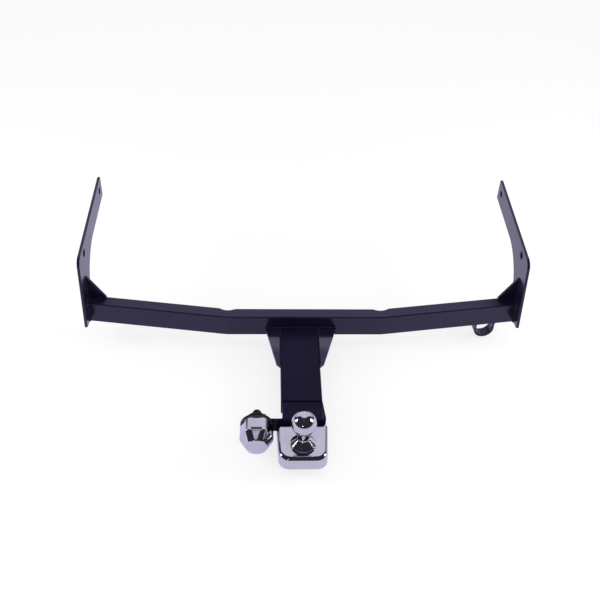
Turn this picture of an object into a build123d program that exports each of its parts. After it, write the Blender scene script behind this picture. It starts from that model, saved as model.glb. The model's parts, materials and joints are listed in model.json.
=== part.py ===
from build123d import *
import math
import os

# Trailer hitch that bolts under a hatchback. A bent cross tube runs between two side arms, and a neck
# runs back from it to a ball platform under a bright cover. Beside the platform a bracket carries a
# lidded electric socket.
# Millimetres. The origin is the centre of the tow ball. X is to the right as seen from behind the
# car, -Y is to the rear and Z is up.

# Tow ball
ball_diameter = 50.0
ball_height = 62.0
ball_top_flat = 14.0
ball_neck_diameter = 23.0
ball_neck_length = 19.8
ball_base_diameter = 51.0
ball_base_band = 4.5
shank_diameter = 22.0
shank_clearance = 0.3
shank_past_nut = 0.0
nut_across_flats = 34.0
nut_height = 17.5
washer_diameter = 44.0
washer_thickness = 2.5
lock_washer_diameter = 37.0
lock_washer_thickness = 4.0
lock_washer_split = 2.5
lock_washer_split_angle = 20.0

# Bright cover over the ball platform
cover_back_width = 104.5
cover_side_taper = 3.0
cover_length = 88.5
cover_behind_ball = 50.0
cover_height = 30.0
cover_wall = 2.5
cover_corner_radius = 21.0
cover_top_round = 6.0
cover_draft = 1.5

# Ball platform inside the cover
platform_thickness = 12.0
platform_clearance = 0.6
platform_tail_width = 58.0
platform_tail_length = 70.0
platform_slot_clearance = 0.2

# Cross tube
tube_height = 53.5
tube_depth = 30.5
tube_wall = 3.0
tube_corner_radius = 2.5
tube_ahead_of_ball = 329.4
tube_above_seat = 45.0
tube_right_of_ball = 12.5
tube_bend_offset = 178.5
tube_end_sweep = 46.6
tube_bend_round = 70.0
pinch_depth = 4.5
pinch_width = 34.0
pinch_round = 14.0

# Side arms
arm_spacing = 994.5
arm_thickness = 6.3
arm_bend_height = 123.0
arm_bend_setback = 3.2
arm_bar_length = 312.0
arm_bar_width = 51.5
arm_bar_rise = 4.5
arm_leg_width = 71.0
arm_leg_lean = 9.1
arm_foot_drop = 5.3
arm_outer_round = 22.0
arm_inner_round = 120.0
arm_corner_round = 3.0
front_bolt_hole = 17.0
front_bolt_from_tip = 30.0
front_bolt_from_top = 22.0
rear_bolt_hole = 19.0
rear_bolt_from_bend = 51.0
rear_bolt_from_top = 20.0

# Gussets between the arms and the cross tube
end_gusset_width = 42.0
end_gusset_height = 57.0
end_gusset_thickness = 6.0
end_gusset_nose = 2.5
end_gusset_toe = 3.0

# Neck, made of a sleeve with a box inside it
neck_width = 86.5
neck_height = 41.0
neck_wall = 2.5
neck_corner_radius = 4.0
least_corner = 0.5
neck_below_tube_top = 30.8
neck_length = 224.4
neck_box_clearance = 0.2
neck_box_wall = 3.0
neck_box_overlap = 90.0

# Gussets between the neck and the cross tube
neck_gusset_drop = 31.5
neck_gusset_thickness = 8.0
left_neck_gusset_width = 34.0
right_neck_gusset_width = 42.0
neck_gusset_length = 123.3
neck_gusset_nose_width = 9.0
neck_gusset_nose_length = 9.2

# Bracket plate that closes the neck and carries the socket
bracket_thickness = 4.0
bracket_behind_cover = 4.0
bracket_height = 35.5
bracket_right_reach = 47.5
bracket_corner_round = 4.0
brace_thickness = 6.6
brace_tip_thickness = 1.5
brace_height = 33.0

# Electric socket
socket_offset = 93.0
socket_below_seat = 7.0
socket_flange_diameter = 68.0
socket_flange_thickness = 2.5
gasket_thickness = 3.0
barrel_diameter = 51.0
barrel_rear_diameter = 43.0
barrel_wall = 2.5
barrel_length = 28.0
barrel_behind = 8.0
barrel_clearance = 0.3
insert_clearance = 0.2
insert_recess = 16.0
insert_length = 22.0
contact_diameter = 4.4
contact_clearance = 0.1
contact_circle = 28.0
contact_count = 6
contact_tail = 4.0
contact_floor = 5.0
contact_bore = 2.2
socket_screw_diameter = 4.0
socket_screw_circle = 60.0
socket_screw_head_diameter = 7.0
socket_screw_head_height = 2.4
socket_screw_slot_width = 1.0
socket_screw_slot_depth = 1.2
socket_screw_hole_clearance = 0.25
socket_nut_flats = 7.0
socket_nut_height = 3.2
socket_screw_past_nut = 1.0

# Bright hexagonal shell and lid over the socket
shell_corner_diameter = 74.0
shell_length = 30.0
shell_wall = 2.0
shell_web = 1.5
shell_ear_trim = 1.0
lid_gap = 0.4
lid_length = 21.0
lid_nose_diameter = 45.0
lid_wall = 2.2
lid_nose_round = 2.0
liner_thickness = 3.0
liner_clearance = 0.1
seal_width = 4.5
seal_past_barrel = 0.5
seal_squeeze_gap = 0.3

# Lid hinge
hinge_above_flat = 0.8
hinge_behind_seam = 1.0
hinge_knuckle_radius = 4.2
hinge_knuckle_length = 15.0
hinge_ear_length = 4.5
hinge_side_gap = 0.4
hinge_swing_gap = 0.6
hinge_pin_diameter = 3.6
hinge_pin_clearance = 0.05
hinge_spring_outer = 6.0
hinge_spring_room = 0.3
hinge_spring_length = 9.0

# Cable boot behind the socket
boot_length = 34.0
boot_wall = 2.5
boot_rim_length = 12.0
boot_cable_diameter = 9.0
boot_nose_diameter = 16.0
boot_nose_length = 4.0

# Safety chain loop under the cross tube
loop_from_arm = 68.25
loop_width = 48.0
loop_drop = 41.0
loop_strap_thickness = 4.5
loop_strap_width = 25.0
loop_turn = 6.0
loop_edge_round = 1.2

# Rounded edges of cut plates, and the least distance that tells two edges apart
plate_edge_round = 0.8
near = 0.01

# Levels and planes worked out from the sizes above
seat_z = -ball_height
cover_top_z = seat_z
cover_inside_z = cover_top_z - cover_wall
platform_bottom_z = cover_inside_z - platform_thickness
tube_top_z = seat_z + tube_above_seat
tube_bottom_z = tube_top_z - tube_height
tube_rear_y = tube_ahead_of_ball
tube_angle = math.atan2(tube_end_sweep, arm_spacing / 2 - tube_bend_offset)
neck_top_z = tube_top_z - neck_below_tube_top
neck_end_y = tube_rear_y - neck_length
cover_back_y = cover_behind_ball
cover_front_y = cover_back_y - cover_length
bracket_rear_y = cover_back_y + bracket_behind_cover
bracket_front_y = bracket_rear_y + bracket_thickness
socket_z = seat_z - socket_below_seat
flange_front_y = bracket_rear_y - gasket_thickness
flange_rear_y = flange_front_y - socket_flange_thickness
barrel_mouth_y = flange_rear_y - barrel_length
shell_mouth_y = flange_rear_y - shell_length
lid_back_y = shell_mouth_y - lid_gap
shell_apothem = shell_corner_diameter / 2 * math.cos(math.pi / 6)
hinge_y = shell_mouth_y + hinge_behind_seam
hinge_z = socket_z + shell_apothem + hinge_above_flat


def block(x_from, x_to, y_from, y_to, z_from, z_to):
    """A box between two corners."""
    size = (abs(x_to - x_from), abs(y_to - y_from), abs(z_to - z_from))
    middle = ((x_from + x_to) / 2, (y_from + y_to) / 2, (z_from + z_to) / 2)
    return Location(middle) * Box(*size)


def plan(points, z):
    """A flat face in plan, at a level."""
    return Plane.XY.offset(z) * make_face(Polyline(*points, close=True))


def rear_plane(y, x=0.0, z=0.0):
    """A plane facing the rear, with its own x along X and its own y along Z."""
    return Plane(origin=(x, y, z), x_dir=(1, 0, 0), z_dir=(0, -1, 0))


def rod(y_front, y_rear, radius, x=0.0, z=0.0):
    """A round bar along Y, from its front end back to its rear end."""
    return extrude(rear_plane(y_front, x, z) * Circle(radius), y_front - y_rear)


def hex_bar(y_front, y_rear, corner_radius, x=0.0, z=0.0):
    """A hexagonal bar along Y with corners at its left and right."""
    return extrude(rear_plane(y_front, x, z) * RegularPolygon(corner_radius, 6), y_front - y_rear)


def cross_rod(radius, x_from, x_to, y, z):
    """A round bar along X."""
    side = Plane(origin=(x_from, y, z), x_dir=(0, 1, 0), z_dir=(1, 0, 0))
    return extrude(side * Circle(radius), x_to - x_from)


def upright_rod(radius, z_from, z_to):
    """A round bar along the ball's own axis."""
    return extrude(Plane.XY.offset(z_from) * Circle(radius), z_to - z_from)


def soften(plate, across):
    """The plate with a small round along the rims of both its faces."""
    faces = plate.faces().sort_by(across)
    rims = [e for face in (faces[0], faces[-1]) for e in face.outer_wire().edges()]
    return fillet(rims, plate_edge_round)


def beside_ball(shape):
    """A piece drawn about the tube's middle, moved to its place beside the ball's line."""
    return Pos(tube_right_of_ball, 0, 0) * shape


# Cross tube

def tube_line(depth):
    """Four points of the tube's bent line, this deep from its rear face."""
    half = arm_spacing / 2
    bend_x = tube_bend_offset - depth * math.tan(tube_angle / 2)
    end_y = (half - tube_bend_offset) * math.tan(tube_angle) + depth / math.cos(tube_angle)
    return [(-half, tube_rear_y + end_y), (-bend_x, tube_rear_y + depth),
            (bend_x, tube_rear_y + depth), (half, tube_rear_y + end_y)]


def tube_plan(inset):
    """Plan of the tube, drawn in by a wall's thickness, with the front face pinched at both bends."""
    rear = tube_line(inset)
    front = tube_line(tube_depth - inset)
    reach = pinch_width / 2
    edges = [Line(rear[i], rear[i + 1]) for i in range(3)]
    edges.append(Line(rear[3], front[3]))
    last = front[3]
    for side, bend in ((1, front[2]), (-1, front[1])):
        outer = (bend[0] + side * reach * math.cos(tube_angle), bend[1] + reach * math.sin(tube_angle))
        inner = (bend[0] - side * reach, bend[1])
        first, second = (outer, inner) if side > 0 else (inner, outer)
        edges.append(Line(last, first))
        edges.append(ThreePointArc(first, (bend[0], bend[1] - pinch_depth), second))
        last = second
    edges.append(Line(last, front[0]))
    edges.append(Line(front[0], rear[0]))
    face = make_face(edges)
    middle_y = tube_rear_y + tube_depth / 2
    past_bend = tube_bend_offset + pinch_width
    dents = [v for v in face.vertices() if v.Y > middle_y and abs(v.X) < past_bend]
    face = fillet(dents, pinch_round)
    bends = [v for v in face.vertices() if v.Y < middle_y and abs(v.X) < past_bend]
    return fillet(bends, tube_bend_round)


def make_cross_tube():
    outer = extrude(Plane.XY.offset(tube_bottom_z) * tube_plan(0), tube_height)
    inside_height = tube_height - 2 * tube_wall
    inner = extrude(Plane.XY.offset(tube_bottom_z + tube_wall) * tube_plan(tube_wall), inside_height)
    level = [e for e in outer.edges() if abs(e.position_at(0).Z - e.position_at(1).Z) < near]
    long_edges = [e for e in level if abs(abs(e.position_at(0.5).X) - arm_spacing / 2) > near]
    return beside_ball(fillet(long_edges, tube_corner_radius) - inner)


# Side arms

def arm_points():
    """Outline of an arm as seen from its side, as points (y, z) from the tip round to the foot."""
    rise = math.radians(arm_bar_rise)
    lean = math.radians(arm_leg_lean)
    bend = Vector(tube_rear_y + tube_end_sweep - arm_bend_setback, tube_top_z + arm_bend_height)
    along_bar = Vector(math.cos(rise), math.sin(rise))
    down_bar = Vector(math.sin(rise), -math.cos(rise))
    down_leg = Vector(-math.sin(lean), -math.cos(lean))
    across_leg = Vector(math.cos(lean), -math.sin(lean))
    tip = bend + along_bar * arm_bar_length
    tip_low = Vector(tip.X, tip.Y - arm_bar_width / math.cos(rise))
    bar_point = bend + down_bar * arm_bar_width
    leg_point = bend + across_leg * arm_leg_width
    # The foot is cut square to the leg, with its front corner below the tube.
    foot_z = tube_bottom_z - arm_foot_drop
    foot_front = leg_point + down_leg * ((leg_point.Y - foot_z) / math.cos(lean))
    foot_rear = foot_front - across_leg * arm_leg_width
    # The inner corner is where the bar's lower edge meets the leg's front edge.
    gap = leg_point - bar_point
    span = along_bar.X * down_leg.Y - along_bar.Y * down_leg.X
    step = (gap.X * down_leg.Y - gap.Y * down_leg.X) / span
    inner = bar_point + along_bar * step
    return bend, tip, tip_low, inner, foot_front, foot_rear, along_bar, down_bar


def arm_hole(along, below_top):
    """Centre of a bolt hole (y, z), this far along the bar from its bend and below its top edge."""
    points = arm_points()
    bend, along_bar, down_bar = points[0], points[6], points[7]
    centre = bend + along_bar * along + down_bar * below_top
    return centre.X, centre.Y


def make_arm(side):
    bend, tip, tip_low, inner, foot_front, foot_rear = arm_points()[:6]
    corners = [(p.X, p.Y) for p in (bend, tip, tip_low, inner, foot_front, foot_rear)]
    outline = make_face(Polyline(*corners, close=True))

    def corner(point):
        return outline.vertices().sort_by_distance((point.X, point.Y, 0))[0]

    outline = fillet(corner(bend), arm_outer_round)
    outline = fillet(corner(inner), arm_inner_round)
    for point in (tip, tip_low, foot_front, foot_rear):
        outline = fillet(corner(point), arm_corner_round)
    holes = [(arm_hole(arm_bar_length - front_bolt_from_tip, front_bolt_from_top), front_bolt_hole),
             (arm_hole(rear_bolt_from_bend, rear_bolt_from_top), rear_bolt_hole)]
    for centre, diameter in holes:
        outline -= Pos(*centre) * Circle(diameter / 2)
    inner_face = side * arm_spacing / 2
    start = inner_face if side > 0 else inner_face - arm_thickness
    plate = soften(extrude(Plane.YZ.offset(start) * outline, arm_thickness), Axis.X)
    return beside_ball(plate)


def make_end_gusset(side):
    """An upright triangle along the front of the tube's top, against the arm's inner face."""
    wall = arm_spacing / 2
    toe = wall - end_gusset_width
    front_y = [tube_line(tube_depth)[3][1] - (wall - x) * math.tan(tube_angle) for x in (wall, toe)]
    thick = end_gusset_thickness / math.cos(tube_angle)
    strip = [(side * wall, front_y[0]), (side * toe, front_y[1]),
             (side * toe, front_y[1] - thick), (side * wall, front_y[0] - thick)]
    upright = extrude(plan(strip, tube_top_z), end_gusset_height)
    points = [(wall, 0), (wall, end_gusset_height), (wall - end_gusset_nose, end_gusset_height),
              (toe, end_gusset_toe), (toe, 0)]
    points = [(side * x, tube_top_z + z) for x, z in points]
    triangle = rear_plane(front_y[0] + thick) * make_face(Polyline(*points, close=True))
    plate = upright & extrude(triangle, tube_end_sweep + tube_depth)
    return beside_ball(soften(plate, Axis.Y))


# Neck

def square_tube(width, height, wall, corner, y_front, y_rear, z_top):
    middle = rear_plane(y_front, 0, z_top - height / 2)
    outside = middle * RectangleRounded(width, height, corner)
    inside_corner = max(corner - wall, least_corner)
    inside = middle * RectangleRounded(width - 2 * wall, height - 2 * wall, inside_corner)
    return extrude(outside - inside, y_front - y_rear)


def make_neck_sleeve():
    """The outer box, which meets the tube's rear face and carries on below the tube to its front."""
    tube_front_y = tube_rear_y + tube_depth
    sleeve = square_tube(neck_width, neck_height, neck_wall, neck_corner_radius,
                         tube_front_y, neck_end_y, neck_top_z)
    return sleeve - block(-neck_width, neck_width, tube_rear_y, tube_front_y, tube_bottom_z, neck_top_z)


box_inset = neck_wall + neck_box_clearance
box_width = neck_width - 2 * box_inset
box_height = neck_height - 2 * box_inset
box_top_z = neck_top_z - box_inset


def make_neck_box():
    corner = max(neck_corner_radius - neck_wall, least_corner)
    front = neck_end_y + neck_box_overlap
    return square_tube(box_width, box_height, neck_box_wall, corner, front, bracket_front_y, box_top_z)


def make_neck_gusset(side, width):
    """A flat wing from the neck's side to the tube's rear face."""
    root = neck_width / 2
    outer = root + width
    nose_y = tube_rear_y - neck_gusset_length
    points = [(root, tube_rear_y), (outer, tube_rear_y),
              (root + neck_gusset_nose_width, nose_y + neck_gusset_nose_length), (root, nose_y)]
    points = [(side * x, y) for x, y in points]
    bottom = tube_top_z - neck_gusset_drop - neck_gusset_thickness
    return soften(extrude(plan(points, bottom), neck_gusset_thickness), Axis.Z)


# Bracket

def screw_places():
    """Places of the socket's screws, as offsets (x, z) from its axis, in three corners of the hexagon."""
    radius = socket_screw_circle / 2
    return [(radius * math.cos(math.radians(a)), radius * math.sin(math.radians(a))) for a in (60, 180, 300)]


def make_bracket():
    plane = rear_plane(bracket_front_y)
    width = bracket_right_reach + socket_offset
    middle = ((bracket_right_reach - socket_offset) / 2, box_top_z - bracket_height / 2)
    strap = Pos(*middle) * Rectangle(width, bracket_height)
    right_corners = strap.vertices().group_by(Axis.X)[-1]
    strap = fillet(right_corners, bracket_corner_round)
    eye = Pos(-socket_offset, socket_z) * Circle(socket_flange_diameter / 2)
    outline = strap + eye
    outline -= Pos(-socket_offset, socket_z) * Circle(barrel_rear_diameter / 2 + barrel_clearance)
    for x, z in screw_places():
        radius = socket_screw_diameter / 2 + socket_screw_hole_clearance
        outline -= Pos(x - socket_offset, z + socket_z) * Circle(radius)
    slot_middle = (cover_inside_z + platform_bottom_z) / 2
    slot_width = platform_tail_width + 2 * platform_slot_clearance
    slot_height = platform_thickness + 2 * platform_slot_clearance
    outline -= Pos(0, slot_middle) * Rectangle(slot_width, slot_height)
    return soften(extrude(plane * outline, bracket_thickness), Axis.Y)


def make_brace():
    """A wedge along the right of the neck's box that stiffens the bracket."""
    inner = box_width / 2
    points = [(inner, bracket_front_y), (inner + brace_thickness, bracket_front_y),
              (inner + brace_tip_thickness, neck_end_y), (inner, neck_end_y)]
    return extrude(plan(points, box_top_z - brace_height), brace_height)


# Ball platform and its cover

def cover_plan(inset, grow=0.0):
    """Plan of the cover, drawn in all round by the inset and let out by a growth."""
    slope = math.tan(math.radians(cover_side_taper))
    back = cover_back_width / 2 - inset + grow
    front = back - cover_length * slope
    front_y = cover_front_y + inset - grow
    points = [(-back, cover_back_y), (back, cover_back_y), (front, front_y), (-front, front_y)]
    face = make_face(Polyline(*points, close=True))
    corners = face.vertices().group_by(Axis.Y)[0]
    return fillet(corners, cover_corner_radius - inset + grow)


def cover_shape(inset, z_top, z_bottom):
    """The cover's drafted outside, or its inside for an inset of its wall."""
    spread = math.tan(math.radians(cover_draft))
    top = Plane.XY.offset(z_top) * cover_plan(inset, (cover_top_z - z_top) * spread)
    bottom = Plane.XY.offset(z_bottom) * cover_plan(inset, (cover_top_z - z_bottom) * spread)
    return loft([top, bottom], ruled=True)


def make_cover():
    outside = cover_shape(0, cover_top_z, cover_top_z - cover_height)
    top_edges = [e for e in outside.edges() if abs(e.position_at(0.5).Z - cover_top_z) < near]
    top_edges = [e for e in top_edges if e.position_at(0.5).Y < cover_back_y - near]
    outside = fillet(top_edges, cover_top_round)
    inside = cover_shape(cover_wall, cover_inside_z, cover_top_z - cover_height)
    hole = upright_rod(shank_diameter / 2 + shank_clearance, cover_inside_z, cover_top_z)
    return outside - inside - hole


def make_platform():
    head = extrude(Plane.XY.offset(platform_bottom_z) * cover_plan(cover_wall + platform_clearance),
                   platform_thickness)
    tail_end = bracket_front_y + platform_tail_length
    half = platform_tail_width / 2
    tail = block(-half, half, cover_back_y, tail_end, platform_bottom_z, cover_inside_z)
    hole = upright_rod(shank_diameter / 2 + shank_clearance, platform_bottom_z, cover_inside_z)
    return head + tail - hole


# Tow ball and its fasteners

washer_bottom_z = platform_bottom_z - washer_thickness
lock_washer_bottom_z = washer_bottom_z - lock_washer_thickness
nut_bottom_z = lock_washer_bottom_z - nut_height


def make_tow_ball():
    radius = ball_diameter / 2
    flat = ball_top_flat / 2
    top_z = math.sqrt(radius ** 2 - flat ** 2)
    neck = ball_neck_diameter / 2
    neck_top_z_here = -math.sqrt(radius ** 2 - neck ** 2)
    neck_foot_z = neck_top_z_here - ball_neck_length
    base = ball_base_diameter / 2
    band_z = seat_z + ball_base_band
    shank = shank_diameter / 2
    end_z = nut_bottom_z - shank_past_nut
    profile = [
        Line((0, top_z), (flat, top_z)),
        ThreePointArc((flat, top_z), (radius, 0), (neck, neck_top_z_here)),
        Line((neck, neck_top_z_here), (neck, neck_foot_z)),
        Line((neck, neck_foot_z), (base, band_z)),
        Line((base, band_z), (base, seat_z)),
        Line((base, seat_z), (shank, seat_z)),
        Line((shank, seat_z), (shank, end_z)),
        Line((shank, end_z), (0, end_z)),
        Line((0, end_z), (0, top_z)),
    ]
    return revolve(Plane.XZ * make_face(profile), Axis.Z)


def make_ball_washer():
    ring = Circle(washer_diameter / 2) - Circle(shank_diameter / 2 + shank_clearance)
    return extrude(Plane.XY.offset(washer_bottom_z) * ring, washer_thickness)


def make_lock_washer():
    ring = Circle(lock_washer_diameter / 2) - Circle(shank_diameter / 2 + shank_clearance)
    split = Rectangle(lock_washer_diameter, lock_washer_split)
    ring -= Pos(lock_washer_diameter / 2, 0) * Rot(0, 0, lock_washer_split_angle) * split
    return extrude(Plane.XY.offset(lock_washer_bottom_z) * ring, lock_washer_thickness)


def make_ball_nut():
    corner_radius = nut_across_flats / 2 / math.cos(math.pi / 6)
    blank = extrude(Plane.XY.offset(nut_bottom_z) * RegularPolygon(corner_radius, 6), nut_height)
    limit = upright_rod(corner_radius, nut_bottom_z, lock_washer_bottom_z)
    rims = [e for e in limit.edges() if e.geom_type == GeomType.CIRCLE]
    limit = chamfer(rims, corner_radius - nut_across_flats / 2)
    bore = upright_rod(shank_diameter / 2, nut_bottom_z, lock_washer_bottom_z)
    return (blank & limit) - bore


# Electric socket

def at_socket(y_front, y_rear, radius):
    return rod(y_front, y_rear, radius, -socket_offset, socket_z)


def drilled(solid, y_front, y_rear):
    """The solid with holes for the socket's screws."""
    radius = socket_screw_diameter / 2 + socket_screw_hole_clearance
    for x, z in screw_places():
        solid -= rod(y_front, y_rear, radius, x - socket_offset, z + socket_z)
    return solid


def make_gasket():
    ring = at_socket(bracket_rear_y, flange_front_y, socket_flange_diameter / 2)
    ring -= at_socket(bracket_rear_y, flange_front_y, barrel_rear_diameter / 2 + barrel_clearance)
    return drilled(ring, bracket_rear_y, flange_front_y)


barrel_front_y = bracket_front_y + barrel_behind
insert_rear_y = barrel_mouth_y + insert_recess
insert_front_y = insert_rear_y + insert_length
bore_radius = barrel_rear_diameter / 2 - barrel_wall


def make_socket_body():
    """A flange with a wide barrel behind the lid and a narrower one through the bracket."""
    flange = at_socket(flange_front_y, flange_rear_y, socket_flange_diameter / 2)
    flange = drilled(flange, flange_front_y, flange_rear_y)
    wide = at_socket(flange_rear_y, barrel_mouth_y, barrel_diameter / 2)
    wide -= at_socket(insert_rear_y, barrel_mouth_y, barrel_diameter / 2 - barrel_wall)
    narrow = at_socket(barrel_front_y, flange_front_y, barrel_rear_diameter / 2)
    return flange + wide + narrow - at_socket(barrel_front_y, insert_rear_y, bore_radius)


def contact_places():
    """Places of the contacts, as offsets (x, z) from the socket's axis: a ring round a middle one."""
    places = [(0.0, 0.0)]
    for i in range(contact_count):
        turn = 2 * math.pi * (i + 0.5) / contact_count
        places.append((contact_circle / 2 * math.cos(turn), contact_circle / 2 * math.sin(turn)))
    return places


def make_insert():
    insert = at_socket(insert_front_y, insert_rear_y, bore_radius - insert_clearance)
    for x, z in contact_places():
        hole = contact_diameter / 2 + contact_clearance
        insert -= rod(insert_front_y, insert_rear_y, hole, x - socket_offset, z + socket_z)
    return insert


def make_contacts():
    """Hollow sleeves that take the plug's pins, with solid tails for the wires."""
    sleeves = []
    for x, z in contact_places():
        place = (x - socket_offset, z + socket_z)
        sleeve = rod(insert_front_y + contact_tail, insert_rear_y, contact_diameter / 2, *place)
        sleeves.append(sleeve - rod(insert_front_y - contact_floor, insert_rear_y, contact_bore / 2, *place))
    return sleeves


head_seat_y = flange_rear_y - shell_web


def make_socket_screws():
    screws = []
    end_y = bracket_front_y + socket_nut_height + socket_screw_past_nut
    for x, z in screw_places():
        place = (x - socket_offset, z + socket_z)
        head_top_y = head_seat_y - socket_screw_head_height
        head = rod(head_seat_y, head_top_y, socket_screw_head_diameter / 2, *place)
        slot = block(place[0] - socket_screw_head_diameter, place[0] + socket_screw_head_diameter,
                     head_top_y, head_top_y + socket_screw_slot_depth,
                     place[1] - socket_screw_slot_width / 2, place[1] + socket_screw_slot_width / 2)
        screws.append(head - slot + rod(end_y, head_seat_y, socket_screw_diameter / 2, *place))
    return screws


def make_socket_nuts():
    nuts = []
    corner_radius = socket_nut_flats / 2 / math.cos(math.pi / 6)
    for x, z in screw_places():
        place = (x - socket_offset, z + socket_z)
        nut = hex_bar(bracket_front_y + socket_nut_height, bracket_front_y, corner_radius, *place)
        nuts.append(nut - rod(bracket_front_y + socket_nut_height, bracket_front_y,
                              socket_screw_diameter / 2, *place))
    return nuts


# Bright shell and lid

shell_radius = shell_corner_diameter / 2
inner_shell_radius = shell_radius - shell_wall / math.cos(math.pi / 6)
ear_inner = hinge_knuckle_length / 2 + hinge_side_gap
ear_outer = ear_inner + hinge_ear_length


def hinge_rod(radius, x_from, x_to):
    """A round bar on the hinge's axis, between two distances from the socket's middle."""
    return cross_rod(radius, x_from - socket_offset, x_to - socket_offset, hinge_y, hinge_z)


def make_shell():
    outside = hex_bar(flange_rear_y, shell_mouth_y, shell_radius, -socket_offset, socket_z)
    inside = hex_bar(head_seat_y, shell_mouth_y, inner_shell_radius, -socket_offset, socket_z)
    shell = outside - inside
    shell -= at_socket(flange_rear_y, head_seat_y, barrel_diameter / 2 + barrel_clearance)
    shell = drilled(shell, flange_rear_y, head_seat_y)
    # Two ears carry the hinge pin, with room between them for the lid's knuckle.
    for side in (-1, 1):
        ends = sorted((side * ear_inner, side * ear_outer))
        shell += hinge_rod(hinge_knuckle_radius, *ends)
    room = hinge_knuckle_radius + hinge_swing_gap
    shell -= hinge_rod(room, -ear_inner, ear_inner)
    shell -= block(-ear_inner - socket_offset, ear_inner - socket_offset, hinge_y, shell_mouth_y,
                   hinge_z - room, hinge_z + room)
    # What the ears would drop inside the hexagon is trimmed off, clear of the barrel.
    clear_of_barrel = barrel_diameter / 2 + shell_ear_trim
    shell -= at_socket(head_seat_y, hinge_y - 2 * hinge_knuckle_radius, clear_of_barrel)
    return shell - hinge_rod(hinge_pin_diameter / 2, -ear_outer, ear_outer)


def lid_frustum(inset, y_back, y_nose):
    back_radius = shell_radius - inset / math.cos(math.pi / 6)
    nose_radius = lid_nose_diameter / 2 - inset / math.cos(math.pi / 6)
    back = rear_plane(y_back, -socket_offset, socket_z) * RegularPolygon(back_radius, 6)
    nose = rear_plane(y_nose, -socket_offset, socket_z) * RegularPolygon(nose_radius, 6)
    return loft([back, nose], ruled=True)


def make_lid():
    nose_y = lid_back_y - lid_length
    outside = lid_frustum(0, lid_back_y, nose_y)
    nose_edges = [e for e in outside.edges() if abs(e.position_at(0.5).Y - nose_y) < near]
    outside = fillet(nose_edges, lid_nose_round)
    lid = outside - lid_frustum(lid_wall, lid_back_y, nose_y + lid_wall)
    # The rim is cut back round the ears, then a knuckle on a short web is added between them.
    room = hinge_knuckle_radius + hinge_swing_gap
    for side in (-1, 1):
        ends = sorted((side * hinge_knuckle_length / 2, side * (ear_outer + hinge_side_gap)))
        lid -= hinge_rod(room, *ends)
    half = hinge_knuckle_length / 2
    lid += hinge_rod(hinge_knuckle_radius, -half, half)
    spring_room = hinge_spring_outer / 2 + hinge_spring_room
    lid -= hinge_rod(spring_room, -hinge_spring_length / 2 - hinge_spring_room, half)
    return lid - hinge_rod(hinge_pin_diameter / 2 + hinge_pin_clearance, -half, half)


def make_liner():
    """A plate that closes the lid's back and backs the seal."""
    radius = shell_radius - (lid_wall + liner_clearance) / math.cos(math.pi / 6)
    slope = (shell_corner_diameter - lid_nose_diameter) / 2 / (lid_length - lid_wall)
    back = rear_plane(lid_back_y, -socket_offset, socket_z) * RegularPolygon(radius, 6)
    nose = rear_plane(lid_back_y - liner_thickness, -socket_offset, socket_z) * RegularPolygon(
        radius - slope * liner_thickness, 6)
    plate = loft([back, nose], ruled=True)
    room = hinge_knuckle_radius + hinge_swing_gap
    return plate - hinge_rod(room, -ear_outer - hinge_side_gap, ear_outer + hinge_side_gap)


def make_seal():
    """A soft ring on the liner that shuts on the barrel's rim."""
    outer = barrel_diameter / 2 + seal_past_barrel
    front_y = barrel_mouth_y - seal_squeeze_gap
    ring = at_socket(front_y, lid_back_y, outer)
    ring -= at_socket(front_y, lid_back_y, outer - seal_width)
    return ring


def make_hinge_pin():
    return hinge_rod(hinge_pin_diameter / 2, -ear_outer, ear_outer)


def make_hinge_spring():
    """The closing spring, hidden in the knuckle and shown as the sleeve it fills."""
    start = -hinge_spring_length / 2
    sleeve = hinge_rod(hinge_spring_outer / 2, start, start + hinge_spring_length)
    return sleeve - hinge_rod(hinge_pin_diameter / 2 + hinge_spring_room, start, start + hinge_spring_length)


def make_boot():
    """Soft boot that seals the wires where they leave the barrel."""
    rim_outer = barrel_rear_diameter / 2 + boot_wall
    nose_outer = boot_nose_diameter / 2
    inner = barrel_rear_diameter / 2
    cable = boot_cable_diameter / 2
    front = bracket_front_y
    nose = boot_length - boot_nose_length
    profile = [(inner, 0), (rim_outer, 0), (rim_outer, boot_rim_length), (nose_outer, nose),
               (nose_outer, boot_length), (cable, boot_length), (cable, nose - boot_wall),
               (inner, boot_rim_length)]
    face = make_face(Polyline(*profile, close=True))
    axis_plane = Plane(origin=(-socket_offset, front, socket_z), x_dir=(1, 0, 0), z_dir=(0, 0, 1))
    return revolve(axis_plane * face, Axis((-socket_offset, front, socket_z), (0, 1, 0)))


# Safety chain loop

def make_loop():
    """A strap bent to a U and welded under the cross tube."""
    middle_x = arm_spacing / 2 - loop_from_arm
    radius = loop_width / 2
    straight = loop_drop - radius
    outer = [
        Line((-radius, 0), (-radius, -straight)),
        ThreePointArc((-radius, -straight), (0, -loop_drop), (radius, -straight)),
        Line((radius, -straight), (radius, 0)),
    ]
    inner_radius = radius - loop_strap_thickness
    inner = [
        Line((radius, 0), (inner_radius, 0)),
        Line((inner_radius, 0), (inner_radius, -straight)),
        ThreePointArc((inner_radius, -straight), (0, -straight - inner_radius), (-inner_radius, -straight)),
        Line((-inner_radius, -straight), (-inner_radius, 0)),
        Line((-inner_radius, 0), (-radius, 0)),
    ]
    face = make_face(outer + inner)
    middle_y = tube_rear_y + (middle_x - tube_bend_offset) * math.tan(tube_angle) + tube_depth / 2
    strap = extrude(rear_plane(loop_strap_width / 2) * face, loop_strap_width)
    rims = [e for e in strap.edges() if abs(abs(e.position_at(0.5).Y) - loop_strap_width / 2) < near]
    strap = fillet(rims, loop_edge_round)
    return beside_ball(Location((middle_x, middle_y, tube_bottom_z)) * (Rot(0, 0, loop_turn) * strap))


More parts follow.
